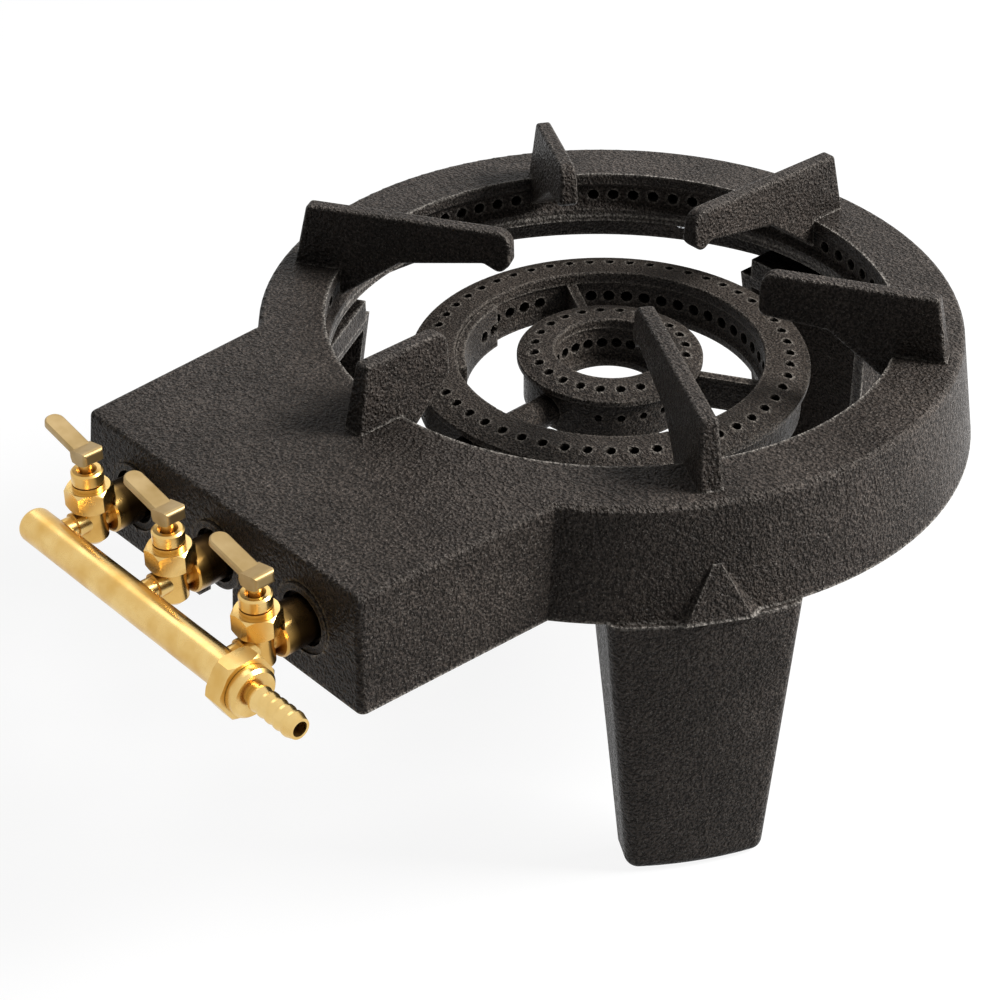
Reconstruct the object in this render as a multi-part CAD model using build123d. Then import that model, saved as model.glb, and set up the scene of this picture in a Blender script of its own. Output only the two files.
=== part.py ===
from build123d import *
import math
import os

# A cast iron boiling ring on three legs: one wide burner ring with a front block, a middle and a core
# burner ring inside it, six pot supports, and a brass manifold with three taps and a hose tail.
# Millimetres, +Z up. Shapes are drawn about the axis of the rings, with the taps towards -Y, and
# are moved at the end so that the origin lies on the floor under the middle of the whole object.

os.makedirs("parts", exist_ok=True)

# Shared clearances
seat_gap = 0.3
slip_gap = 0.2
running_gap = 0.05
overrun = 2

# Legs
leg_height = 169
leg_angles = (-30, 90, 210)
leg_turn = -1
leg_face_r = 213
leg_top_width = 105
leg_top_depth = 43
leg_foot_width = 77
leg_foot_depth = 23
leg_wall = 8
leg_cap = 8
leg_sole = 10
leg_corner = 8
leg_edge = 7
leg_bolt_r = 4
leg_bolt_across = 13
leg_bolt_head = 5.3
leg_bolt_reach = 12
leg_bolt_side = 27
leg_bolt_inset = 27

# Outer burner ring
ring_height = 65
ring_top_r = 200
ring_foot_r = 210
ring_bore_r = 163
ring_plate = 7
ring_edge = 3
port_wall_r = 166
port_wall = 7
bore_lip = 7
bore_lip_slope = 3
channel_depth = 29
channel_outer_r = 195
bead_height = 4
bead_reach = 3.5
skirt_step_r = 201
skirt_foot_wall = 7
floor_plate = 4
floor_screw_r = 2.5
floor_screw_head_r = 4.5
floor_screw_head = 3
floor_screw_reach = 6
ring_port_r = 3.5
ring_port_drop = 16
ring_ports_per_bay = 12
ring_port_step = 4.4
pad_height = 14
pad_width = 84
pad_inner_r = 168
wedge_height = 31
wedge_half = 18
wedge_bevel = 5
wedge_reach = 4.5
wedge_tip_half = 2
wedge_tip_reach = 0.8
wedge_root = 4

# Front block
block_reach = 280
block_front_half = 111
block_root_half = 121
block_root_y = 145
block_draft = 5
block_wall = 7
block_corner = 4
block_edge = 3

# Pot supports
# Each fin has its own angle and reach: the patterns were set by eye, so no two fins are quite alike.
support_angles = (-90, -30, 29, 87.5, 150, 210)
support_head_rs = (184, 183, 185, 180, 165, 183)
support_nose_rs = (128, 62, 86, 61, 98, 59)
support_height = 38
support_thickness = 9
support_foot_spread = 3.5
support_edge = 2
support_heel = 8
support_nose_round = 9
support_back_round = 3
support_under_round = 5
support_nose_drop = 26
support_chin = 6
support_throat_r = 75
support_throat_drop = 21
support_belly_r = 126
support_belly_drop = 29
support_gusset_drop = 56

# Middle burner ring
mid_floor_drop = 60
mid_outer_r = 112
mid_inner_r = 91
mid_outer_wall = 5
mid_inner_wall = 6.5
mid_floor = 6
mid_wall_drop = 37
mid_lip_reach = 2.5
mid_lip_height = 4
mid_cap_rim_r = 116
mid_cap_crown_r = 104
mid_cap_bore_r = 89.5
mid_cap_drop = 30
mid_cap_slope = 4
cap_rim = 3
cap_roof = 2.5
cap_spigot = 2
mid_spigot_wall = 3
mid_hole_count = 52
mid_hole_pitch_r = 104
cap_hole_r = 2.8
mid_port_r = 3.6
mid_port_rise = 13
boss_from = 188
boss_to = 238
boss_inner_r = 84
boss_rise = 28
boss_port_to = 200

# Core burner ring
core_outer_r = 50
core_inner_r = 33
core_outer_wall = 4
core_inner_wall = 5.5
core_lip_reach = 3
core_wall_drop = 35
core_cap_rim_r = 54
core_cap_crown_r = 44
core_cap_bore_r = 32
core_cap_drop = 29
core_cap_slope = 3
core_spigot_wall = 1.3
core_hole_count = 24
core_hole_pitch_r = 44
core_port_r = 3.2
core_port_rise = 14.5
core_side_port_r = 2.2
core_shut_from = 240
core_shut_to = 300

# Webs from the middle ring to the core ring
web_angles = (30, 150)
web_thickness = 6
web_foot = 3

# Mixing tubes, one behind each tap
tube_r = 9
tube_bore_r = 6.5
tube_axis_drop = 49.5
mouth_axis_drop = 33
mouth_r = 19
mouth_lip = 3
mouth_length = 18
mouth_recess_r = 15
mouth_recess = 4
mouth_socket = 12
mouth_taper = 16
tube_drop_start = 12
tube_drop_run = 26
tube_bend_r = 16
air_window_length = 9
air_window_width = 12
riser_r = 13
riser_bore_r = 8
riser_y = 172
riser_floor = 3
saddle_half = 15
saddle_angle = 270
mid_feed_angle = -125
mid_feed_turn_y = 150
notch_half = 14

# Taps
tap_pitch = 70
tap_stem_offset = 29
body_r = 7.75
body_top_rise = 8
body_foot_drop = 14
body_taper = 3
outlet_r = 12.5
outlet_neck_r = 6.8
outlet_start = 8
outlet_edge = 1
gas_way_r = 2.6
jet_r = 4.5
jet_tip_r = 2.5
jet_hole_r = 0.8
jet_length = 6
jet_tip = 4
jet_well = 10
plug_r = 5
plug_height = 15
seal_r = 6.5
seal_height = 4
nut_across = 22
nut_height = 12
nut_edge = 1.6
gland_r = 8.3
gland_height = 10
gland_groove = 1
gland_groove_depth = 1.5
gland_groove_rise = 2
gland_edge = 1
gland_well_r = 5.2
gland_well = 3
stem_r = 3.3
stem_rise = 11
hub_rise = 5.5
hub_front = 9
hub_back = 4
hub_width = 12
hub_chin = 2.5
hub_foot_share = 1 / 3
hub_height = 10
hub_slope = 3
hub_edge = 2
paddle_length = 31
paddle_width = 10.5
paddle_thickness = 3.4
paddle_tilt = 12
paddle_edge = 0.8

# Manifold
manifold_offset = 54
manifold_r = 9.5
manifold_bore_r = 7.5
manifold_left = 82
manifold_right = 85.5
end_plug_dome = 5
end_plug_round = 3.5
end_plug_spigot = 6
stub_r = 5.5
stub_collar_r = 6.7
stub_collar = 3.5
union_across = 30
union_length = 11
union_edge = 1.6
union_overlap = 3
union_web = 3.8
washer_thickness = 1.5
washer_bore_r = 4.5
tail_flange = 2.5
tail_flange_r = 9.3
tail_neck_r = 7.5
tail_collar_r = 13
tail_collar = 6
tail_collar_edge = 1.5
tail_bore_r = 4
tail_root_r = 5.4
tail_root = 3
tail_ridge_r = 6.8
tail_ridge_count = 5
tail_ridge_pitch = 6
tail_ridge_land = 1.4

# Places worked out from the sizes
base_z = leg_height
top_z = base_z + ring_height
channel_z = top_z - channel_depth
plate_z = channel_z - floor_plate
mid_floor_z = top_z - mid_floor_drop
mid_wall_z = top_z - mid_wall_drop
core_wall_z = top_z - core_wall_drop
tube_z = top_z - tube_axis_drop
mouth_z = top_z - mouth_axis_drop
bead_r = port_wall_r - bead_reach
mid_lip_r = mid_inner_r - mid_lip_reach
core_lip_r = core_inner_r - core_lip_reach
tap_xs = [-tap_pitch, 0, tap_pitch]
tap_y = -(block_reach + tap_stem_offset)
manifold_y = -(block_reach + manifold_offset)
mouth_y = -(block_reach + mouth_lip)
block_front_y = -(block_reach + block_draft + overrun)
front_reach = block_reach + manifold_offset + union_across / math.sqrt(3)
rear_reach = ring_foot_r + wedge_reach
ring_centre_y = (front_reach - rear_reach) / 2
next_angles = list(support_angles[1:]) + [support_angles[0] + 360]
bay_middles = [(angle + following) / 2 for angle, following in zip(support_angles, next_angles)]


def turned(outline, rounds=None):
    """A solid turned round Z from (radius, height) points; rounds maps a point's number to a radius."""
    face = make_face(Polyline(*[(r, 0, z) for r, z in outline], close=True))
    for index, radius in (rounds or {}).items():
        spot = Vector(outline[index][0], 0, outline[index][1])
        corner = min(face.vertices(), key=lambda v: (v.center() - spot).length)
        face = fillet(corner, radius)
    return revolve(face, axis=Axis.Z)


def drum(radius, low, high):
    """An upright cylinder on the axis between two heights."""
    return Pos(0, 0, low) * Cylinder(radius, high - low, align=(Align.CENTER, Align.CENTER, Align.MIN))


def rod_y(radius, x, z, y_from, y_to):
    """A cylinder along +Y from y_from to y_to."""
    return Pos(x, y_from, z) * Rot(-90, 0, 0) * Cylinder(
        radius, y_to - y_from, align=(Align.CENTER, Align.CENTER, Align.MIN))


def rod_x(radius, y, z, x_from, x_to):
    """A cylinder along +X from x_from to x_to."""
    return Pos(x_from, y, z) * Rot(0, 90, 0) * Cylinder(
        radius, x_to - x_from, align=(Align.CENTER, Align.CENTER, Align.MIN))


def slab(x_from, x_to, y_from, y_to, z_from, z_to):
    """A box between two corners."""
    return Pos(x_from, y_from, z_from) * Box(
        x_to - x_from, y_to - y_from, z_to - z_from, align=(Align.MIN, Align.MIN, Align.MIN))


def sector(from_angle, to_angle, radius):
    """An upright wedge of a disc between two angles, as tall as the burner."""
    start = (radius * math.cos(math.radians(from_angle)), radius * math.sin(math.radians(from_angle)))
    plan = make_face([
        Line((0, 0), start),
        CenterArc((0, 0), radius, from_angle, to_angle - from_angle),
        Line((radius * math.cos(math.radians(to_angle)), radius * math.sin(math.radians(to_angle))), (0, 0)),
    ])
    return Pos(0, 0, base_z) * extrude(plan, top_z - base_z)


def radial_ports(radius, hole_r, z, reach, angles):
    """Drills for a row of holes that point at the axis, one at each angle."""
    drill = rod_x(hole_r, 0, z, radius - reach, radius + reach)
    return [Rot(0, 0, angle) * drill for angle in angles]


def write(name, solid):
    """Moves a piece to the object's own origin and writes it."""
    placed = Pos(0, ring_centre_y, 0) * solid
    export_step(placed, os.path.join("parts", name + ".step"))


def bay_angles(count, step):
    """The angles of the ports in the bays between the pot supports."""
    return [middle + (i - (count - 1) / 2) * step for middle in bay_middles for i in range(count)]


def clear_angles(count, blocked, shut_from, shut_to):
    """The angles of evenly spaced ports, but for those beside a blocked angle and those in a shut stretch."""
    step = 360 / count
    angles = [(k + 1 / 2) * step for k in range(count)]
    angles = [angle for angle in angles if min(abs(angle - b) for b in blocked) > step]
    return [angle for angle in angles if not shut_from < angle < shut_to]


def block_plan(spread, inset, corner):
    """The front block's outline from above, spread by the draft and inset by the wall, with rounded corners."""
    front_half = block_front_half + spread - inset
    root_half = block_root_half + spread - inset
    front_y = -(block_reach + spread - inset)
    plan = make_face(Polyline((-front_half, front_y), (front_half, front_y), (root_half, -block_root_y + inset),
                              (-root_half, -block_root_y + inset), close=True))
    return fillet(plan.vertices().group_by(Axis.Y)[0], corner)


def outer_ring_casting():
    """The wide ring: a channel that opens downwards, a long outer skirt, leg pads and the front block."""
    skirt_foot_r = ring_foot_r - skirt_foot_wall
    bead_top = channel_z + bead_height
    lip_foot = top_z - bore_lip
    ring = turned([
        (ring_foot_r, base_z),
        (ring_top_r, top_z),
        (ring_bore_r, top_z),
        (ring_bore_r, lip_foot),
        (port_wall_r, lip_foot - bore_lip_slope),
        (port_wall_r, bead_top + bead_reach),
        (bead_r, bead_top),
        (bead_r, channel_z),
        (port_wall_r + port_wall, channel_z),
        (port_wall_r + port_wall, top_z - ring_plate),
        (channel_outer_r, top_z - ring_plate),
        (channel_outer_r, channel_z),
        (skirt_step_r, channel_z),
        (skirt_foot_r, base_z),
    ], {1: ring_edge})
    skirt_middle = turned([
        (0, base_z - overrun),
        (ring_foot_r - skirt_foot_wall / 2, base_z - overrun),
        (ring_top_r - skirt_foot_wall / 2, top_z + overrun),
        (0, top_z + overrun),
    ])

    foot = Pos(0, 0, base_z) * block_plan(block_draft, 0, block_corner)
    head = Pos(0, 0, top_z) * block_plan(0, 0, block_corner)
    block = loft([foot, head], ruled=True)
    block = fillet(block.edges().group_by(Axis.Z)[-1], block_edge)
    hollow_foot = Pos(0, 0, base_z - overrun) * block_plan(block_draft, block_wall, block_corner)
    hollow_head = Pos(0, 0, top_z - ring_plate) * block_plan(0, block_wall, block_corner)
    block = block - loft([hollow_foot, hollow_head], ruled=True) - skirt_middle

    casting = ring + block
    for angle in leg_angles:
        pad = slab(pad_inner_r, skirt_step_r + overrun, -pad_width / 2, pad_width / 2,
                   base_z, base_z + pad_height)
        casting += Rot(0, 0, angle) * leg_wedge()
        casting += Rot(0, 0, angle + leg_turn) * pad
        for side in (-leg_bolt_side, leg_bolt_side):
            place = Pos(leg_face_r - leg_bolt_inset, side, 0)
            casting -= Rot(0, 0, angle + leg_turn) * place * drum(
                leg_bolt_r + running_gap, base_z - overrun, base_z + leg_bolt_reach + seat_gap)

    for port in radial_ports(port_wall_r, ring_port_r, top_z - ring_port_drop, port_wall + overrun,
                             bay_angles(ring_ports_per_bay, ring_port_step)):
        casting -= port
    for place in floor_screw_places():
        casting -= place * drum(floor_screw_r + running_gap, channel_z - overrun, channel_z + floor_screw_reach)
    for x in tap_xs:
        casting -= rod_y(mouth_r + slip_gap, x, mouth_z, block_front_y, -block_reach + block_wall + overrun)
        casting -= tube_run(x, tube_r + slip_gap)
    notch = slab(-notch_half, notch_half, block_front_y, -block_reach + block_wall + overrun,
                 base_z - overrun, mouth_z)
    return casting - notch


def leg_wedge():
    """The bevelled triangular swelling on the skirt above a leg, drawn along +X."""
    def section(z, half, reach, bevel):
        wall_r = ring_foot_r - (ring_foot_r - ring_top_r) * (z - base_z) / ring_height
        return make_face(Polyline(
            (wall_r - wedge_root, -half - bevel, z), (wall_r + reach, -half, z),
            (wall_r + reach, half, z), (wall_r - wedge_root, half + bevel, z), close=True))

    foot = section(base_z, wedge_half, wedge_reach, 2 * wedge_bevel)
    tip = section(base_z + wedge_height, wedge_tip_half, wedge_tip_reach, wedge_tip_half)
    return loft([foot, tip], ruled=True)


def floor_screw_places():
    """Screws that hold the floor plate up under the port wall, one in each bay."""
    r = port_wall_r + port_wall / 2
    return [Rot(0, 0, angle) * Pos(r, 0, 0) for angle in bay_middles]


def outer_ring_floor():
    """The flat ring that closes the outer channel from below, with the gas inlet of the right tube."""
    floor = drum(skirt_step_r - seat_gap, plate_z, channel_z)
    floor -= drum(bead_r, plate_z - overrun, channel_z + overrun)
    floor -= Pos(tap_pitch, -riser_y, 0) * drum(riser_bore_r, plate_z - overrun, channel_z + overrun)
    for place in floor_screw_places():
        floor -= place * drum(floor_screw_r + slip_gap, plate_z - overrun, channel_z + overrun)
    return floor


def floor_screw():
    """A pan head screw, pointing up, at the underside of the floor plate."""
    head = drum(floor_screw_head_r, plate_z - floor_screw_head, plate_z)
    head = chamfer(head.edges().group_by(Axis.Z)[0], floor_screw_head / 3)
    shank = drum(floor_screw_r, plate_z, channel_z + floor_screw_reach - seat_gap)
    slot = slab(-floor_screw_head_r, floor_screw_head_r, -floor_screw_head / 6, floor_screw_head / 6,
                plate_z - floor_screw_head, plate_z - floor_screw_head / 2)
    return head + shank - slot


def leg():
    """A tapered leg that is open towards the rings, drawn along +X, with a cap, a sole and a rounded face."""
    def tapered(low, high, inset, back):
        foot = Pos(leg_face_r, 0, low) * Rectangle(2 * (leg_foot_depth + back), leg_foot_width - 2 * inset)
        head = Pos(leg_face_r, 0, high) * Rectangle(2 * (leg_top_depth + back), leg_top_width - 2 * inset)
        return loft([foot.face(), head.face()], ruled=True) & drum(leg_face_r - inset, low, high)

    body = tapered(0, leg_height, 0, 0)
    upright = body.edges().filter_by(lambda e: abs(e.tangent_at(0).Z) > 1 / 2)
    body = fillet(upright.sort_by(Axis.X)[-2:], leg_corner)
    sole = body.edges().group_by(Axis.Z)[0].sort_by(Axis.X)
    body = fillet(sole[1:], leg_edge)
    body -= tapered(leg_sole, leg_height - leg_cap, leg_wall, overrun)
    for side in (-leg_bolt_side, leg_bolt_side):
        body -= Pos(leg_face_r - leg_bolt_inset, side, 0) * drum(
            leg_bolt_r + slip_gap, leg_height - leg_cap - overrun, leg_height + overrun)
    return body


def leg_bolt():
    """A hexagon bolt that points up through the leg's cap into the ring's pad."""
    head_z = leg_height - leg_cap
    head = Pos(0, 0, head_z - leg_bolt_head) * extrude(
        RegularPolygon(leg_bolt_across / 2, 6, major_radius=False), leg_bolt_head)
    return head + drum(leg_bolt_r, head_z, base_z + leg_bolt_reach)


def pot_support(head_r, nose_r):
    """A fin along +X that stands on the ring's top and reaches over the opening, thicker at its foot."""
    head_z = top_z + support_height
    heel_r = ring_bore_r - seat_gap
    gusset_z = head_z - support_gusset_drop
    chin_z = head_z - support_nose_drop
    if nose_r < support_throat_r:
        under = [
            (nose_r, 0, chin_z + support_chin),
            (nose_r + support_chin, 0, chin_z),
            (support_throat_r, 0, head_z - support_throat_drop),
        ]
    else:
        under = [(nose_r, 0, chin_z)]
    if nose_r < support_belly_r:
        under.append((support_belly_r, 0, head_z - support_belly_drop))
    outline = [(head_r + support_heel, 0, top_z), (head_r, 0, head_z), (nose_r, 0, head_z)]
    outline += under + [(heel_r, 0, gusset_z), (heel_r, 0, top_z)]
    face = make_face(Polyline(*outline, close=True))
    rounds = [(outline[1], support_back_round), (outline[2], support_nose_round)]
    rounds += [(point, support_under_round) for point in under]
    for point, radius in rounds:
        face = fillet(face.vertices().sort_by_distance(point)[0], radius)
    fin = extrude(face, support_thickness, both=True)

    half = support_thickness / 2
    draft = make_face(Polyline(
        (0, -half, head_z), (0, half, head_z), (0, half + support_foot_spread, gusset_z),
        (0, -half - support_foot_spread, gusset_z), close=True))
    fin = (fin & extrude(draft, head_r + support_heel + overrun, dir=(1, 0, 0))).solids()[0]
    soft = fin.edges().filter_by(lambda e: abs(e.tangent_at(0).Y) < 1 / 2)
    soft = soft.filter_by(lambda e: e.center().Z > top_z + support_edge or e.center().X < heel_r - overrun)
    return fillet(soft, support_edge)


def burner_cap(bore_r, crown_r, rim_r, cap_z, slope, roof_out_r, spigot_in_r, spigot_wall, count, pitch_r):
    """A flat topped cap that slopes down to its rim, with gas holes along the crease."""
    rim_z = cap_z - slope
    foot_z = rim_z - cap_rim
    cap = turned([
        (bore_r, cap_z),
        (crown_r, cap_z),
        (rim_r, rim_z),
        (rim_r, foot_z),
        (roof_out_r, foot_z),
        (roof_out_r, foot_z + cap_roof),
        (spigot_in_r + spigot_wall, foot_z + cap_roof),
        (spigot_in_r + spigot_wall, foot_z - cap_spigot),
        (spigot_in_r, foot_z - cap_spigot),
        (spigot_in_r, foot_z),
        (bore_r, foot_z),
    ], {0: cap_rim / 3, 2: cap_rim / 3})
    drill = Pos(pitch_r, 0, 0) * drum(cap_hole_r, foot_z - overrun, cap_z + overrun)
    for k in range(count):
        cap -= Rot(0, 0, (k + 1 / 2) * 360 / count) * drill
    return cap


def ring_body(outer_r, outer_wall, inner_r, inner_wall, lip_r, wall_z):
    """An open topped ring channel with a lip round the foot of its bore."""
    return turned([
        (outer_r, mid_floor_z),
        (outer_r, wall_z),
        (outer_r - outer_wall, wall_z),
        (outer_r - outer_wall, mid_floor_z + mid_floor),
        (inner_r + inner_wall, mid_floor_z + mid_floor),
        (inner_r + inner_wall, wall_z),
        (inner_r, wall_z),
        (inner_r, mid_floor_z + mid_lip_height + mid_lip_reach),
        (lip_r, mid_floor_z + mid_lip_height),
        (lip_r, mid_floor_z),
    ])


def middle_ring_body():
    """The middle channel, with two webs to the core and a solid saddle that the core's tube runs through."""
    body = ring_body(mid_outer_r, mid_outer_wall, mid_inner_r, mid_inner_wall, mid_lip_r, mid_wall_z)
    channel = drum(mid_outer_r - mid_outer_wall / 2, mid_floor_z + mid_floor / 2, mid_wall_z)
    channel -= drum(mid_inner_r + mid_inner_wall / 2, mid_floor_z, mid_wall_z + overrun)
    saddle_top = mid_wall_z - cap_spigot - seat_gap
    saddle = channel & slab(-saddle_half, saddle_half, -mid_outer_r, 0, mid_floor_z, saddle_top)
    body += saddle
    for angle in web_angles:
        web = slab(0, mid_inner_r + mid_inner_wall / 2, -web_thickness / 2, web_thickness / 2,
                   mid_floor_z + web_foot, mid_wall_z)
        web -= drum(core_outer_r + slip_gap, mid_floor_z, mid_wall_z + overrun)
        body += Rot(0, 0, angle) * web
    boss = drum(mid_inner_r + mid_inner_wall / 2, mid_floor_z, mid_floor_z + boss_rise)
    boss -= drum(boss_inner_r, mid_floor_z - overrun, mid_floor_z + boss_rise + overrun)
    boss &= sector(boss_from, boss_to, mid_outer_r)
    boss -= drum(mid_outer_r, mid_wall_z, top_z) - drum(mid_cap_bore_r - seat_gap, mid_wall_z, top_z)
    body += boss
    port_angles = clear_angles(mid_hole_count, list(web_angles) + [saddle_angle], boss_port_to, boss_to)
    port_z = mid_floor_z + mid_port_rise
    for port in radial_ports(mid_inner_r, mid_port_r, port_z, mid_inner_wall + overrun, port_angles):
        body -= port
    body -= tube_run(0, tube_r + slip_gap)
    return body - tube_run(-tap_pitch, tube_r + slip_gap)


def middle_ring_cap():
    """The cap of the middle ring."""
    roof_out_r = mid_outer_r - mid_outer_wall
    return burner_cap(mid_cap_bore_r, mid_cap_crown_r, mid_cap_rim_r, top_z - mid_cap_drop, mid_cap_slope,
                      roof_out_r, mid_inner_r + mid_inner_wall + seat_gap, mid_spigot_wall,
                      mid_hole_count, mid_hole_pitch_r)


def core_ring_body():
    """The core channel, with ports that point at the axis and outwards, and a hole for its tube."""
    body = ring_body(core_outer_r, core_outer_wall, core_inner_r, core_inner_wall, core_lip_r, core_wall_z)
    port_z = mid_floor_z + core_port_rise
    inward = [(k + 1 / 2) * 360 / core_hole_count for k in range(core_hole_count)]
    outward = clear_angles(core_hole_count, list(web_angles), core_shut_from, core_shut_to)
    ports = radial_ports(core_inner_r, core_port_r, port_z, core_inner_wall + overrun, inward)
    ports += radial_ports(core_outer_r, core_side_port_r, port_z, core_outer_wall + overrun, outward)
    for port in ports:
        body -= port
    return body - tube_run(0, tube_r + slip_gap)


def core_ring_cap():
    """The cap of the core ring."""
    roof_out_r = core_outer_r - core_outer_wall
    return burner_cap(core_cap_bore_r, core_cap_crown_r, core_cap_rim_r, top_z - core_cap_drop, core_cap_slope,
                      roof_out_r, core_inner_r + core_inner_wall + seat_gap, core_spigot_wall,
                      core_hole_count, core_hole_pitch_r)


def tube_points(x):
    """The axis of a mixing tube behind its mouth: level, down to the rings' level, then on to its ring."""
    start = mouth_y + mouth_length + mouth_taper
    level = start + tube_drop_start
    low = level + tube_drop_run
    points = [(x, start, mouth_z), (x, level, mouth_z), (x, low, tube_z)]
    if x == 0:
        points.append((0, -(core_outer_r - core_outer_wall), tube_z))
    elif x < 0:
        end_r = mid_outer_r - mid_outer_wall
        turn = math.radians(mid_feed_angle)
        points.append((x, -mid_feed_turn_y, tube_z))
        points.append((end_r * math.cos(turn), end_r * math.sin(turn), tube_z))
    else:
        points.append((x, -riser_y, tube_z))
    return points


def tube_run(x, radius):
    """The round bar along a mixing tube's axis."""
    points = tube_points(x)
    path = FilletPolyline(*points, radius=tube_bend_r)
    section = Plane(origin=path @ 0, z_dir=path % 0) * Circle(radius)
    return sweep(section, path=path)


def mixing_tube(x):
    """A cast tube with a wide mouth for the tap's outlet, air windows below and a run to its burner ring."""
    start = mouth_y + mouth_length
    tube = rod_y(mouth_r, x, mouth_z, mouth_y, start)
    cone = Cone(mouth_r, tube_r, mouth_taper, align=(Align.CENTER, Align.CENTER, Align.MIN))
    tube += Pos(x, start, mouth_z) * Rot(-90, 0, 0) * cone
    tube += tube_run(x, tube_r)
    if x > 0:
        tube += Pos(x, -riser_y, 0) * drum(riser_r, tube_z - tube_bore_r - riser_floor, plate_z)
        tube -= Pos(x, -riser_y, 0) * drum(riser_bore_r, tube_z, plate_z + overrun)
    tube -= tube_run(x, tube_bore_r)
    bell = Cone(outlet_r + running_gap, tube_bore_r, mouth_taper, align=(Align.CENTER, Align.CENTER, Align.MIN))
    tube -= Pos(x, start, mouth_z) * Rot(-90, 0, 0) * bell
    tube -= rod_y(outlet_r + running_gap, x, mouth_z, mouth_y + mouth_recess - overrun, start)
    tube -= rod_y(mouth_recess_r, x, mouth_z, mouth_y - overrun, mouth_y + mouth_recess)
    window_y = -block_reach + block_wall + slip_gap
    window = slab(x - air_window_width / 2, x + air_window_width / 2, window_y, window_y + air_window_length,
                  mouth_z - mouth_r - overrun, mouth_z)
    return tube - window


def tap_body(x):
    """A tap body with an upright barrel, an outlet that plugs into the mixing tube and a way for the gas."""
    foot_z = mouth_z - body_foot_drop
    head_z = mouth_z + body_top_rise
    barrel = Pos(x, tap_y, 0) * turned([
        (0, foot_z),
        (body_r - body_taper, foot_z),
        (body_r, foot_z + body_taper),
        (body_r, head_z),
        (0, head_z),
    ])
    outlet_end = mouth_y + mouth_recess + mouth_socket - overrun
    outlet = rod_y(outlet_r, x, mouth_z, tap_y + outlet_start, outlet_end)
    outlet = chamfer(outlet.edges().filter_by(GeomType.CIRCLE), outlet_edge)
    nut_room_r = nut_across / math.sqrt(3) + seat_gap
    outlet -= Pos(x, tap_y, 0) * drum(nut_room_r, head_z - seat_gap, head_z + nut_height)
    body = barrel + outlet + rod_y(outlet_neck_r, x, mouth_z, tap_y, tap_y + outlet_start + outlet_edge)
    body -= Pos(x, tap_y, 0) * drum(plug_r + running_gap, head_z - seal_height - plug_height, head_z + overrun)
    body -= Pos(x, tap_y, 0) * drum(seal_r, head_z - seal_height, head_z + overrun)
    body -= rod_y(gas_way_r, x, mouth_z, tap_y - body_r - overrun, outlet_end + overrun)
    body -= rod_y(jet_r, x, mouth_z, outlet_end - jet_well, outlet_end + overrun)
    return body


def tap_jet(x):
    """The small nozzle in the outlet's end."""
    outlet_end = mouth_y + mouth_recess + mouth_socket - overrun
    start = outlet_end - jet_well
    jet = rod_y(jet_r, x, mouth_z, start, start + jet_length)
    tip = Cone(jet_r, jet_tip_r, jet_tip, align=(Align.CENTER, Align.CENTER, Align.MIN))
    jet += Pos(x, start + jet_length, mouth_z) * Rot(-90, 0, 0) * tip
    jet -= rod_y(gas_way_r, x, mouth_z, start - overrun, start + jet_length)
    return jet - rod_y(jet_hole_r, x, mouth_z, start, start + jet_length + jet_tip + overrun)


def tap_seal(x):
    """The packing ring round the stem, in the top of the barrel."""
    head_z = mouth_z + body_top_rise
    seal = drum(seal_r, head_z - seal_height, head_z)
    seal -= drum(stem_r + running_gap, mouth_z - overrun, head_z + overrun)
    return Pos(x, tap_y, 0) * seal


def packing_nut(x):
    """The hexagon nut on the barrel."""
    nut_z = mouth_z + body_top_rise
    corner_r = nut_across / math.sqrt(3)
    nut = Pos(0, 0, nut_z) * extrude(RegularPolygon(nut_across / 2, 6, major_radius=False), nut_height)
    turned_off = turned([
        (0, nut_z),
        (corner_r - nut_edge, nut_z),
        (corner_r, nut_z + nut_edge),
        (corner_r, nut_z + nut_height - nut_edge),
        (corner_r - nut_edge, nut_z + nut_height),
        (0, nut_z + nut_height),
    ])
    nut = (nut & turned_off) - drum(stem_r + running_gap, nut_z - overrun, nut_z + nut_height + overrun)
    return Pos(x, tap_y, 0) * nut


def gland(x):
    """The round collar above the nut, with a groove near its foot."""
    foot_z = mouth_z + body_top_rise + nut_height
    groove_z = foot_z + gland_groove_rise
    collar = turned([
        (stem_r + running_gap, foot_z),
        (gland_r, foot_z),
        (gland_r, groove_z),
        (gland_r - gland_groove_depth, groove_z),
        (gland_r - gland_groove_depth, groove_z + gland_groove),
        (gland_r, groove_z + gland_groove),
        (gland_r, foot_z + gland_height - gland_edge),
        (gland_r - gland_edge, foot_z + gland_height),
        (gland_well_r, foot_z + gland_height),
        (stem_r + running_gap, foot_z + gland_height - gland_well),
    ])
    return Pos(x, tap_y, 0) * collar


def tap_stem(x):
    """The turning plug and its stem; the cross hole lies across the gas way while the tap is shut."""
    head_z = mouth_z + body_top_rise
    plug_foot = head_z - seal_height - plug_height + seat_gap / 2
    gland_top = head_z + nut_height + gland_height
    stem = drum(plug_r, plug_foot, head_z - seal_height - seat_gap / 2)
    stem += drum(stem_r, plug_foot + overrun, gland_top + stem_rise)
    stem = Pos(x, tap_y, 0) * stem
    return stem - rod_x(gas_way_r, tap_y, mouth_z, x - plug_r - overrun, x + plug_r + overrun)


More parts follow.
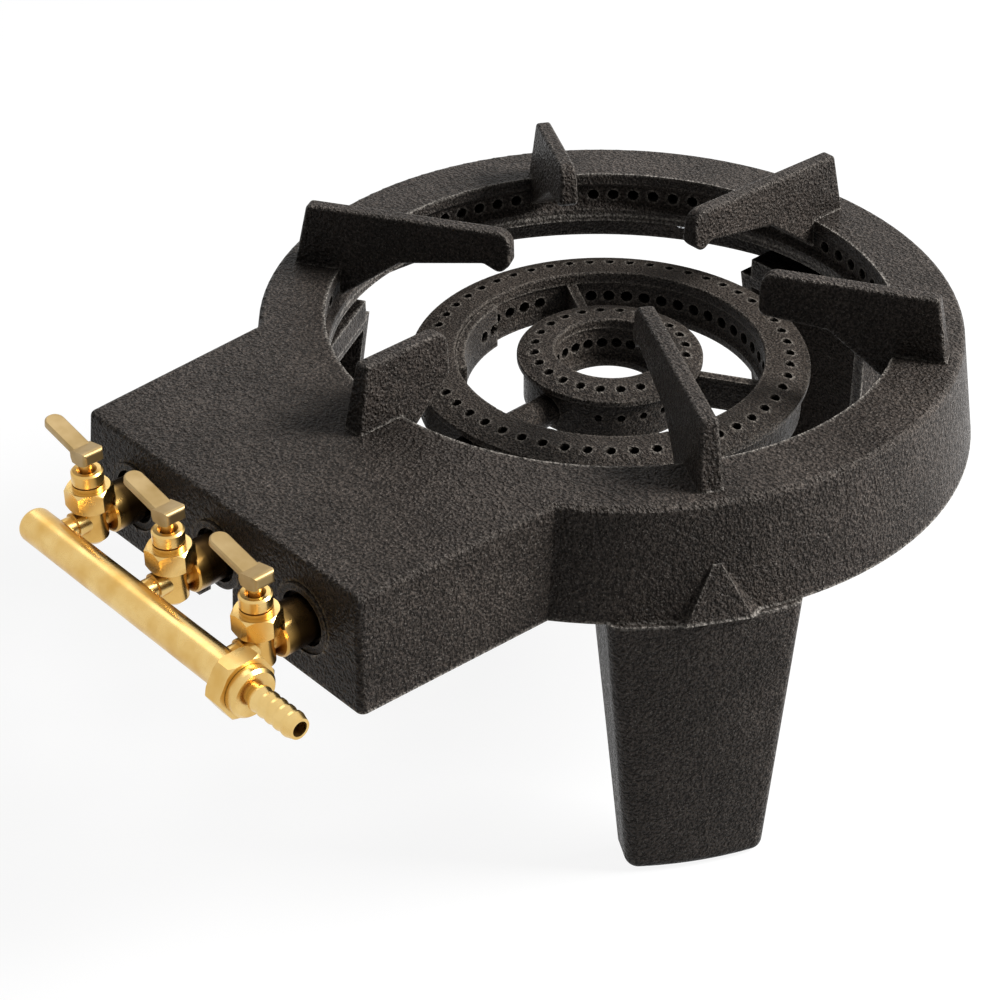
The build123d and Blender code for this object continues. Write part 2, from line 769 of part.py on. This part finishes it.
def tap_lever(x):
    """A block hub on the stem, higher at its free side, with a flat paddle that rises towards -X."""
    hub_z = mouth_z + body_top_rise + nut_height + gland_height + hub_rise
    outline = Polyline(
        (-hub_back, 0, hub_chin),
        (-hub_front * hub_foot_share, 0, 0),
        (hub_front * hub_foot_share, 0, 0),
        (hub_front, 0, hub_chin),
        (hub_front, 0, hub_height),
        (-hub_back, 0, hub_height - hub_slope),
        close=True)
    hub = extrude(make_face(outline), hub_width / 2, both=True).solids()[0]
    hub = fillet(hub.edges().filter_by(lambda e: e.center().X > hub_front - hub_edge), hub_edge)

    reach = paddle_length - paddle_width / 2
    blade = Pos(-reach / 2, 0) * Rectangle(reach, paddle_width) + Pos(-reach, 0) * Circle(paddle_width / 2)
    paddle = extrude(blade, -paddle_thickness)
    paddle = chamfer(paddle.edges().group_by(Axis.Z)[-1], paddle_edge)
    paddle = Pos(0, 0, hub_height - hub_slope) * Rot(0, paddle_tilt, 0) * paddle
    lever = hub + paddle
    lever -= drum(stem_r + running_gap, -hub_rise, stem_rise - hub_rise + seat_gap)
    return Pos(x, tap_y, hub_z) * lever


def manifold_tube():
    """The straight gas tube with a hole towards each tap."""
    tube = rod_x(manifold_r, manifold_y, mouth_z, -manifold_left, manifold_right)
    tube -= rod_x(manifold_bore_r, manifold_y, mouth_z, -manifold_left - overrun, manifold_right + overrun)
    for x in tap_xs:
        tube -= rod_y(gas_way_r, x, mouth_z, manifold_y, manifold_y + manifold_r + overrun)
    return tube


def manifold_end_plug():
    """The rounded plug in the tube's closed end."""
    dome = rod_x(manifold_r, 0, 0, -end_plug_dome, 0)
    dome = fillet(dome.edges().group_by(Axis.X)[0], end_plug_round)
    plug = dome + rod_x(manifold_bore_r - running_gap, 0, 0, 0, end_plug_spigot)
    return Pos(-manifold_left, manifold_y, mouth_z) * plug


def tap_stub(x):
    """The short pipe from the manifold to a tap, with a collar at the tap's end."""
    body_face = tap_y - body_r
    stub = rod_y(stub_r, x, mouth_z, manifold_y, tap_y)
    stub += rod_y(stub_collar_r, x, mouth_z, body_face - stub_collar, tap_y)
    stub -= rod_x(manifold_r + running_gap, manifold_y, mouth_z, x - tap_pitch / 2, x + tap_pitch / 2)
    stub -= Pos(x, tap_y, 0) * drum(body_r + running_gap, base_z, top_z)
    return stub - rod_y(gas_way_r, x, mouth_z, manifold_y - overrun, tap_y + overrun)


def union_nut():
    """The hexagon nut over the tube's open end and the hose tail's flange."""
    left = manifold_right - union_overlap
    right = left + union_length
    corner_r = union_across / math.sqrt(3)
    nut = extrude(RegularPolygon(union_across / 2, 6, major_radius=False, rotation=180 / 6), union_length)
    turned_off = turned([
        (0, 0),
        (corner_r - union_edge, 0),
        (corner_r, union_edge),
        (corner_r, union_length - union_edge),
        (corner_r - union_edge, union_length),
        (0, union_length),
    ])
    nut = Pos(left, manifold_y, mouth_z) * Rot(0, 90, 0) * (nut & turned_off)
    nut -= rod_x(manifold_r + slip_gap, manifold_y, mouth_z, left - overrun, right - union_web)
    return nut - rod_x(tail_neck_r + slip_gap, manifold_y, mouth_z, left, right + overrun)


def union_washer():
    """The flat seal between the tube's end and the hose tail."""
    right = manifold_right + washer_thickness
    washer = rod_x(tail_flange_r, manifold_y, mouth_z, manifold_right, right)
    return washer - rod_x(washer_bore_r, manifold_y, mouth_z, manifold_right - overrun, right + overrun)


def hose_tail():
    """The ridged tail that the hose is pushed on, with its collar and the flange inside the nut."""
    flange = manifold_right + washer_thickness
    collar = manifold_right - union_overlap + union_length + slip_gap
    root = collar + tail_collar
    outline = [
        (tail_bore_r, flange),
        (tail_flange_r, flange),
        (tail_flange_r, flange + tail_flange),
        (tail_neck_r, flange + tail_flange),
        (tail_neck_r, collar),
        (tail_collar_r, collar),
        (tail_collar_r, root - tail_collar_edge),
        (tail_collar_r - tail_collar_edge, root),
        (tail_root_r, root),
    ]
    ridge = root + tail_root
    outline.append((tail_root_r, ridge))
    for k in range(tail_ridge_count):
        outline.append((tail_ridge_r, ridge))
        outline.append((tail_ridge_r, ridge + tail_ridge_land))
        ridge += tail_ridge_pitch
        outline.append((tail_root_r, ridge))
    outline.append((tail_bore_r, ridge))
    tail = turned(outline)
    return Pos(0, manifold_y, mouth_z) * Rot(0, 90, 0) * tail


write("outer_ring_casting", outer_ring_casting())
write("outer_ring_floor", outer_ring_floor())
for number, place in enumerate(floor_screw_places(), 1):
    write(f"floor_screw_{number}", place * floor_screw())
for number, angle in enumerate(leg_angles, 1):
    write(f"leg_{number}", Rot(0, 0, angle + leg_turn) * leg())
    for letter, side in (("a", -leg_bolt_side), ("b", leg_bolt_side)):
        place = Rot(0, 0, angle + leg_turn) * Pos(leg_face_r - leg_bolt_inset, side, 0)
        write(f"leg_bolt_{number}{letter}", place * leg_bolt())
for number, (angle, head_r, nose_r) in enumerate(zip(support_angles, support_head_rs, support_nose_rs), 1):
    write(f"pot_support_{number}", Rot(0, 0, angle) * pot_support(head_r, nose_r))

write("middle_ring_body", middle_ring_body())
write("middle_ring_cap", middle_ring_cap())
write("core_ring_body", core_ring_body())
write("core_ring_cap", core_ring_cap())

for number, x in enumerate(tap_xs, 1):
    write(f"mixing_tube_{number}", mixing_tube(x))
    write(f"tap_stub_{number}", tap_stub(x))
    write(f"tap_body_{number}", tap_body(x))
    write(f"tap_jet_{number}", tap_jet(x))
    write(f"tap_seal_{number}", tap_seal(x))
    write(f"packing_nut_{number}", packing_nut(x))
    write(f"gland_{number}", gland(x))
    write(f"tap_stem_{number}", tap_stem(x))
    write(f"tap_lever_{number}", tap_lever(x))

write("manifold_tube", manifold_tube())
write("manifold_end_plug", manifold_end_plug())
write("union_nut", union_nut())
write("union_washer", union_washer())
write("hose_tail", hose_tail())
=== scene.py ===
# %% [markdown]
# # A cast iron boiling ring with brass taps
# The ring, its legs and its pot supports are grey iron, poured in sand moulds and painted black. The taps,
# the manifold and the hose tail are turned and milled from brass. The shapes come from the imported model,
# which stands still here: this lesson gives each surface its finish, with the small marks that the foundry
# and the bench leave, and sets the light and the camera.

# %% Load the model
import math

import bpy
from mathutils import Matrix, Vector


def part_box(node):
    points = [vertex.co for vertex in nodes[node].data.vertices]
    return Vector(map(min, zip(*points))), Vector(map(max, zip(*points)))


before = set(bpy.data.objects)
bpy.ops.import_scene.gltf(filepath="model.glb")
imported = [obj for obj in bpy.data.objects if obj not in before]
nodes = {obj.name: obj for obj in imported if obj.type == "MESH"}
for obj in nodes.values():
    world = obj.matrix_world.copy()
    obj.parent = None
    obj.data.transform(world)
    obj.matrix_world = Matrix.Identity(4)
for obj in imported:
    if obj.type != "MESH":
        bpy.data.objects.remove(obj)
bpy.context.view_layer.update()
bpy.ops.object.select_all(action="DESELECT")
print("nodes in the model:", len(nodes))

# %% [markdown]
# The camera and the painted shade on the tap outlets are placed from the model's own boxes, so that they
# still sit where they should if the model changes. The core ring's box is centred on the axis that all three
# rings share, and the outer casting gives the height of the ring's top.

# %% Measure the model
MM = 0.001
core_low, core_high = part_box("core_ring_body")
ring_x = (core_low[0] + core_high[0]) / 2
ring_y = (core_low[1] + core_high[1]) / 2
ring_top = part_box("outer_ring_casting")[1][2]
print("ring axis at", round(ring_x, 4), round(ring_y, 4), "top at", round(ring_top, 4))

# %% [markdown]
# ## Helpers for materials
# A colour picked from a screen is written in sRGB, and the shader wants linear light, so one function turns
# a hex value into linear. Another adds a node, sets what it is given and joins its inputs, which keeps each
# material a short list of what the surface is made of. Patterns are sized in millimetres, so a third turns a
# size into the scale that the noise wants.

# %% Material helpers
def linear(hex_colour):
    """An sRGB hex value as linear RGBA."""
    channels = []
    for k in (0, 2, 4):
        value = int(hex_colour[k:k + 2], 16) / 255
        channels.append(value / 12.92 if value <= 0.04045 else ((value + 0.055) / 1.055) ** 2.4)
    return (*channels, 1.0)


def add(tree, kind, settings=None, **inputs):
    """Adds a node, sets its properties, and fills or links its inputs by name, or by number as in _6."""
    node = tree.nodes.new(kind)
    for name, value in (settings or {}).items():
        setattr(node, name, value)
    for name, value in inputs.items():
        socket = node.inputs[int(name[1:])] if name[0] == "_" else node.inputs[name.replace("_", " ")]
        if isinstance(value, bpy.types.NodeSocket):
            tree.links.new(value, socket)
        else:
            socket.default_value = value
    return node


def new_material(name):
    """An empty node material with its output, and the coordinates of the object."""
    material = bpy.data.materials.new(name)
    material.use_nodes = True
    tree = material.node_tree
    tree.nodes.clear()
    output = add(tree, "ShaderNodeOutputMaterial")
    place = add(tree, "ShaderNodeTexCoord").outputs["Object"]
    return material, tree, output, place


def per_metre(size_mm):
    """The noise scale that gives features of this size."""
    return 1 / (size_mm * MM)


print("a pattern of 1 mm has the noise scale", per_metre(1.0))

# %% [markdown]
# ## Sand cast iron under black paint
# Grey iron that was poured in green sand keeps the grain of the sand: bumps under a millimetre wide, below a
# thin coat of heat proof paint. The paint is a warm black, the tops of the grains are rubbed lighter, and the
# light breaks up into sparks on them, helped by pale specks painted in as glints. Corners and edges wear
# first. They could be painted by hand, but a mask finds them anywhere: rays sent into the metal come out
# again close by only where an edge is near. Rays sent outwards find the recesses in the same way, and those
# are painted darker as shade.
# The grain is drawn slightly coarser than real sand, so that it still shows from a step away.

# %% Cast iron material
SPARK_MM = 1.0
LUMP_MM = 4.0
CLOUD_MM = 45.0
EDGE_MM = 2.4
RECESS_MM = 30.0
# The next two give the painted shade in the recesses: its colour and how much of it.
RECESS_SHADE = "0C0A09"
RECESS_SHADE_SHARE = 0.85
# How pale the painted glints are.
GLINT_SHARE = 0.25
PAINT_IOR = 1.45
ROUGHNESS_SPREAD = 0.12


def cast_iron(name, paint, rubbed, bare, wear, grain_mm, grain_depth_mm, roughness, shine):
    """Painted sand cast iron: a dark coat, lighter grain tops, worn edges, painted recess shade, painted
    glints and a grainy bump.
    """
    material, tree, output, place = new_material(name)
    sparks = add(tree, "ShaderNodeTexNoise", Vector=place, Scale=per_metre(SPARK_MM), Detail=1.0)
    grain = add(tree, "ShaderNodeTexNoise", Vector=place, Scale=per_metre(grain_mm), Detail=2.0,
                Roughness=0.5)
    lumps = add(tree, "ShaderNodeTexNoise", Vector=place, Scale=per_metre(LUMP_MM), Detail=3.0)
    clouds = add(tree, "ShaderNodeTexNoise", Vector=place, Scale=per_metre(CLOUD_MM), Detail=4.0)

    # Edges are worn through the paint in patches, the tops of the grains first.
    inward = add(tree, "ShaderNodeAmbientOcclusion", {"inside": True, "only_local": True, "samples": 6},
                 Distance=EDGE_MM * MM)
    edge = add(tree, "ShaderNodeMapRange", Value=inward.outputs["AO"], From_Min=0.90, From_Max=0.50,
               To_Min=0.0, To_Max=wear)
    rub = add(tree, "ShaderNodeMapRange", Value=grain.outputs["Fac"], From_Min=0.40, From_Max=0.62,
              To_Min=0.2, To_Max=1.0)
    patchy = add(tree, "ShaderNodeMath", {"operation": "MULTIPLY"}, _0=edge.outputs["Result"],
                 _1=rub.outputs["Result"])

    # The coat is lighter on the grain's tops, and its tone wanders over the casting.
    top = add(tree, "ShaderNodeMapRange", Value=grain.outputs["Fac"], From_Min=0.42, From_Max=0.72)
    coat = add(tree, "ShaderNodeMix", {"data_type": "RGBA"}, _0=top.outputs["Result"], _6=linear(paint),
               _7=linear(rubbed))
    shade = add(tree, "ShaderNodeMapRange", Value=clouds.outputs["Fac"], From_Min=0.3, From_Max=0.7,
                To_Min=0.7, To_Max=1.3)
    toned = add(tree, "ShaderNodeVectorMath", {"operation": "SCALE"}, _0=coat.outputs[2],
                Scale=shade.outputs["Result"])
    # Single grains are painted pale as glints, a painted highlight in place of their sparkle.
    glint = add(tree, "ShaderNodeMapRange", Value=sparks.outputs["Fac"], From_Min=0.62, From_Max=0.76,
                To_Min=0.0, To_Max=GLINT_SHARE)
    lit = add(tree, "ShaderNodeMath", {"operation": "MAXIMUM"}, _0=glint.outputs["Result"],
              _1=patchy.outputs["Value"])
    # The coat turns pale where it is worn and where glints are painted.
    wear_and_glint = add(tree, "ShaderNodeMix", {"data_type": "RGBA"}, _0=lit.outputs["Value"],
               _6=toned.outputs["Vector"], _7=linear(bare))

    # Painted shade darkens the recesses.
    open_air = add(tree, "ShaderNodeAmbientOcclusion", {"samples": 6}, Distance=RECESS_MM * MM)
    recess = add(tree, "ShaderNodeMapRange", Value=open_air.outputs["AO"], From_Min=0.70, From_Max=0.25,
                 To_Max=RECESS_SHADE_SHARE)
    recess_shaded = add(tree, "ShaderNodeMix", {"data_type": "RGBA"}, _0=recess.outputs["Result"],
                _6=wear_and_glint.outputs[2], _7=linear(RECESS_SHADE))

    # The sand's grain stands on broader lumps, and its tops are smoother than its pits.
    waves = add(tree, "ShaderNodeBump", Height=lumps.outputs["Fac"], Strength=1.0,
                Distance=grain_depth_mm * MM)
    sand = add(tree, "ShaderNodeBump", Height=grain.outputs["Fac"], Strength=1.0,
               Distance=grain_depth_mm * MM, Normal=waves.outputs["Normal"])
    matt = add(tree, "ShaderNodeMapRange", Value=grain.outputs["Fac"], From_Min=0.35, From_Max=0.7,
               To_Min=roughness + ROUGHNESS_SPREAD, To_Max=roughness - ROUGHNESS_SPREAD)
    shader = add(tree, "ShaderNodeBsdfPrincipled", Base_Color=recess_shaded.outputs[2], Metallic=0.0,
                 Roughness=matt.outputs["Result"], IOR=PAINT_IOR, Normal=sand.outputs["Normal"])
    shader.inputs["Specular IOR Level"].default_value = shine
    tree.links.new(shader.outputs["BSDF"], output.inputs["Surface"])
    return material


# The outer casting, the legs and the fins look coarse and dry, with pale edges where they are handled.
outer_iron = cast_iron("painted_sand_cast_iron", paint="2A2623", rubbed="5A524C", bare="C4BDB4", wear=0.8,
                       grain_mm=1.6, grain_depth_mm=2.3, roughness=0.30, shine=0.07)
# The inner rings and their tubes look finer, darker and a little smoother.
burner_iron = cast_iron("burner_ring_cast_iron", paint="24201D", rubbed="5A524B", bare="C4BBB0", wear=0.4,
                        grain_mm=1.3, grain_depth_mm=1.5, roughness=0.28, shine=0.07)
print("cast iron materials:", outer_iron.name, burner_iron.name)

# %% [markdown]
# ## Brass from the lathe and the mill
# The tube, nuts, taps and tail are free cutting brass with a fine satin finish. Brass is a metal, so its
# colour is the colour of its reflections, and the satin comes from roughness. Tool marks too fine to see one
# by one spread the light, and a thin film of handling dulls and browns the colour here and there. Corners
# keep their tarnish, darkened further with painted shade, and where the taps run into the hot block their
# brass is painted dark brown as shade. One function makes all three kinds, because they differ only in
# colour, polish and painted shade.

# %% Brass material
TOOL_MARK_MM = 0.5
FILM_MM = 16.0
CORNER_MM = 7.0
# The painted outlet shade fades in over this length.
SHADE_LENGTH_MM = 9.0
# The next two give the tarnish in the corners, with painted shade on it: its colour and how much of it.
TARNISH_AND_SHADE = "7A5420"
TARNISH_AND_SHADE_SHARE = 0.42
# The next two give the painted dark brown shade on the tap outlets: its colour and how much of it.
OUTLET_SHADE = "3C2B18"
OUTLET_SHADE_SHARE = 0.95
BURNISH = 0.05
HANDLING = 0.08
MARK_STRENGTH = 0.35


def brass(name, bright, dull, roughness, mark_depth_mm, shaded_from=None):
    """Satin brass with fine tool marks, a patchy film and, beyond a given Y, a dark brown painted shade."""
    material, tree, output, place = new_material(name)
    marks = add(tree, "ShaderNodeTexNoise", Vector=place, Scale=per_metre(TOOL_MARK_MM), Detail=2.0)
    film = add(tree, "ShaderNodeTexNoise", Vector=place, Scale=per_metre(FILM_MM), Detail=3.0,
               Roughness=0.5)
    veil = add(tree, "ShaderNodeMapRange", Value=film.outputs["Fac"], From_Min=0.35, From_Max=0.70)
    colour = add(tree, "ShaderNodeMix", {"data_type": "RGBA"}, _0=veil.outputs["Result"], _6=linear(bright),
                 _7=linear(dull)).outputs[2]
    matt = add(tree, "ShaderNodeMapRange", Value=film.outputs["Fac"], From_Min=0.3, From_Max=0.7,
               To_Min=roughness - BURNISH, To_Max=roughness + HANDLING)
    # Tarnish stays in the corners, and painted shade darkens them further.
    open_air = add(tree, "ShaderNodeAmbientOcclusion", {"samples": 6}, Distance=CORNER_MM * MM)
    corner = add(tree, "ShaderNodeMapRange", Value=open_air.outputs["AO"], From_Min=0.75, From_Max=0.30,
                 To_Max=TARNISH_AND_SHADE_SHARE)
    colour = add(tree, "ShaderNodeMix", {"data_type": "RGBA"}, _0=corner.outputs["Result"], _6=colour,
                 _7=linear(TARNISH_AND_SHADE)).outputs[2]
    # Painted shade turns what is nearest to the iron dark brown.
    if shaded_from is not None:
        along = add(tree, "ShaderNodeSeparateXYZ", Vector=place)
        outlet_shade = add(tree, "ShaderNodeMapRange", Value=along.outputs["Y"], From_Min=shaded_from,
                   From_Max=shaded_from + SHADE_LENGTH_MM * MM, To_Max=OUTLET_SHADE_SHARE)
        colour = add(tree, "ShaderNodeMix", {"data_type": "RGBA"}, _0=outlet_shade.outputs["Result"], _6=colour,
                     _7=linear(OUTLET_SHADE)).outputs[2]
    scratched = add(tree, "ShaderNodeBump", Height=marks.outputs["Fac"], Strength=MARK_STRENGTH,
                    Distance=mark_depth_mm * MM)
    shader = add(tree, "ShaderNodeBsdfPrincipled", Base_Color=colour, Metallic=1.0,
                 Roughness=matt.outputs["Result"], Normal=scratched.outputs["Normal"])
    tree.links.new(shader.outputs["BSDF"], output.inputs["Surface"])
    return material


# The tube, the nuts and the tail look bright and silky.
tube_brass = brass("satin_turned_brass", bright="E4C380", dull="D2A95E", roughness=0.27, mark_depth_mm=0.012)

# The tap bodies are a deeper yellow, and are painted dark brown as shade just behind their stems, on the side
# of the block.
OUTLET_MM = 7.0
stem_low, stem_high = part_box("tap_stem_1")
outlet_start = (stem_low[1] + stem_high[1]) / 2 + OUTLET_MM * MM
tap_brass = brass("tap_brass_painted_outlet_shade", bright="DBB268", dull="C2944A", roughness=0.27,
                  mark_depth_mm=0.012, shaded_from=outlet_start)

# The levers were blasted, so they look pale and matt.
lever_brass = brass("blasted_lever_brass", bright="AB9369", dull="957C4E", roughness=0.42, mark_depth_mm=0.03)
print("brass materials:", tube_brass.name, tap_brass.name, lever_brass.name)

# %% [markdown]
# ## Small hardware
# The screws and bolts under the ring are zinc plated steel, the packing rings in the taps are black nitrile,
# and the washer in the union is red fibre. They hardly show, so each has one plain surface with a little
# unevenness: a cool grey shine, a dull black and a dull dark red.

# %% Hardware materials
ROUGHNESS_WANDER = 0.08


def plain(name, colour, metallic, roughness, speck_mm):
    """A plain surface whose roughness wanders a little."""
    material, tree, output, place = new_material(name)
    specks = add(tree, "ShaderNodeTexNoise", Vector=place, Scale=per_metre(speck_mm), Detail=3.0)
    matt = add(tree, "ShaderNodeMapRange", Value=specks.outputs["Fac"], To_Min=roughness - ROUGHNESS_WANDER,
               To_Max=roughness + ROUGHNESS_WANDER)
    shader = add(tree, "ShaderNodeBsdfPrincipled", Base_Color=linear(colour), Metallic=metallic,
                 Roughness=matt.outputs["Result"])
    tree.links.new(shader.outputs["BSDF"], output.inputs["Surface"])
    return material


zinc_steel = plain("zinc_plated_steel", "B9BCC0", metallic=1.0, roughness=0.35, speck_mm=3.0)
nitrile = plain("nitrile_rubber", "1E1E1E", metallic=0.0, roughness=0.7, speck_mm=2.0)
red_fibre = plain("vulcanised_fibre", "7A2A20", metallic=0.0, roughness=0.6, speck_mm=2.0)
print("hardware materials:", zinc_steel.name, nitrile.name, red_fibre.name)

# %% [markdown]
# ## Dressing the nodes
# Each node gets the finish of the stock it was made from. The first matching name wins.

# %% Give each node its finish
finishes = [
    (("leg_bolt", "floor_screw"), zinc_steel),
    (("outer_ring", "leg_", "pot_support"), outer_iron),
    (("middle_ring", "core_ring", "mixing_tube"), burner_iron),
    (("tap_seal",), nitrile),
    (("union_washer",), red_fibre),
    (("tap_lever",), lever_brass),
    (("tap_body",), tap_brass),
    (("tap_", "packing_nut", "gland", "manifold", "union_nut", "hose_tail"), tube_brass),
]
counts = {}
for name, node in nodes.items():
    for starts, material in finishes:
        if name.startswith(starts):
            for slot in node.material_slots:
                slot.material = material
            counts[material.name] = counts.get(material.name, 0) + 1
            break
print("dressed:", counts)

# %% [markdown]
# ## Floor, light and camera
# The photograph is a catalogue picture on white. The floor is a wide pale sheet that keeps a faint shadow.
# To the camera and in reflections the room is plain white, and to the rest of the light it is dim. One large
# soft light stands to the right and behind, where the bright tops and the lit skirt say that it stood, and a
# weak one fills the left. This leaves the faces with the taps darker than the tops. More lamps would be
# easier to place, but would flatten that contrast.

# %% Floor
PAPER = "ABABAB"
SHADED_PAPER = "686868"
FLOOR_SIDE_M = 12
FLOOR_GLOW = 0.9


def backdrop_seen(tree):
    """One for what shows, straight or in a reflection or through glass, and nought for other light."""
    path = add(tree, "ShaderNodeLightPath")
    straight = add(tree, "ShaderNodeMath", {"operation": "MAXIMUM"}, _0=path.outputs["Is Camera Ray"],
                   _1=path.outputs["Is Glossy Ray"])
    return add(tree, "ShaderNodeMath", {"operation": "MAXIMUM"}, _0=straight.outputs["Value"],
               _1=path.outputs["Is Transmission Ray"]).outputs["Value"]


bpy.ops.mesh.primitive_plane_add(size=FLOOR_SIDE_M, location=(0, 0, 0))
floor = bpy.context.object
floor.name = "floor"
material, tree, output, _ = new_material("white_paper_floor")
# Other light finds pale paper. What shows is a glow just under white, and a darker paper on top of it gives
# the rest, so the shadow takes away only that rest.
paper = add(tree, "ShaderNodeBsdfDiffuse", Color=linear(PAPER))
shaded = add(tree, "ShaderNodeBsdfDiffuse", Color=linear(SHADED_PAPER))
glow = add(tree, "ShaderNodeEmission", Color=linear("FFFFFF"), Strength=FLOOR_GLOW)
white = add(tree, "ShaderNodeAddShader", _0=shaded.outputs["BSDF"], _1=glow.outputs["Emission"])
seen = add(tree, "ShaderNodeMixShader", _0=backdrop_seen(tree), _1=paper.outputs["BSDF"],
           _2=white.outputs["Shader"])
tree.links.new(seen.outputs["Shader"], output.inputs["Surface"])
floor.data.materials.append(material)
print("floor:", floor.name, "side in metres:", FLOOR_SIDE_M)

# %% Light
SKY_SOFT = 0.08
SKY_WHITE = 1.0
KEY_PLACE_M = (1.25, 1.42, 1.66)
KEY_SIZE_M = 0.9
KEY_WATTS = 98
FILL_PLACE_M = (-1.4, 0.4, 2.2)
FILL_SIZE_M = 1.4
FILL_WATTS = 8
LIGHT_AIM_M = (0, 0, 0.2)

world = bpy.data.worlds.new("studio")
bpy.context.scene.world = world
world.use_nodes = True
sky = world.node_tree
sky.nodes.clear()
sky_soft = add(sky, "ShaderNodeBackground", Color=linear("FFFFFF"), Strength=SKY_SOFT)
sky_white = add(sky, "ShaderNodeBackground", Color=linear("FFFFFF"), Strength=SKY_WHITE)
sky_mix = add(sky, "ShaderNodeMixShader", _0=backdrop_seen(sky), _1=sky_soft.outputs["Background"],
              _2=sky_white.outputs["Background"])
add(sky, "ShaderNodeOutputWorld", Surface=sky_mix.outputs["Shader"])


def softbox(name, place, size, watts):
    """A square area light that points from its place to the ring."""
    data = bpy.data.lights.new(name, "AREA")
    data.size = size
    data.energy = watts
    light = bpy.data.objects.new(name, data)
    light.location = place
    light.rotation_euler = (Vector(LIGHT_AIM_M) - Vector(place)).to_track_quat("-Z", "Y").to_euler()
    bpy.context.scene.collection.objects.link(light)
    print("lit by", name, "watts:", watts)


softbox("key_right_behind", KEY_PLACE_M, KEY_SIZE_M, KEY_WATTS)
softbox("fill_left_above", FILL_PLACE_M, FILL_SIZE_M, FILL_WATTS)

# %% [markdown]
# The camera stands where the photograph was taken from. Its angles, its distance and its lens were found by
# fitting the rings' ellipses and the block's edges, and they are kept as measured, from the ring's axis.

# %% Camera
AZIMUTH_DEG = 45.76
ELEVATION_DEG = 31.57
ROLL_DEG = 0.55
DISTANCE_M = 1.31887
ASIDE_M = -0.03439
RAISE_M = 0.03335
RING_TOP_ABOVE_AIM_M = 0.06968
LENS_MM = 80.78
SENSOR_MM = 36
SHIFT_X = -0.05
SHIFT_Y = -0.15

turn = (Matrix.Rotation(math.radians(AZIMUTH_DEG), 4, "Z")
        @ Matrix.Rotation(math.radians(90 - ELEVATION_DEG), 4, "X")
        @ Matrix.Rotation(math.radians(ROLL_DEG), 4, "Z"))
aim = Vector((ring_x, ring_y, ring_top - RING_TOP_ABOVE_AIM_M))
camera_data = bpy.data.cameras.new("camera")
camera_data.lens = LENS_MM
camera_data.sensor_width = SENSOR_MM
camera_data.shift_x = SHIFT_X
camera_data.shift_y = SHIFT_Y
camera = bpy.data.objects.new("camera", camera_data)
bpy.context.scene.collection.objects.link(camera)
camera.matrix_world = Matrix.Translation(aim + turn @ Vector((ASIDE_M, RAISE_M, DISTANCE_M))) @ turn
bpy.context.scene.camera = camera
bpy.context.scene.view_settings.view_transform = "Standard"
print("camera at", tuple(round(v, 3) for v in camera.matrix_world.translation))
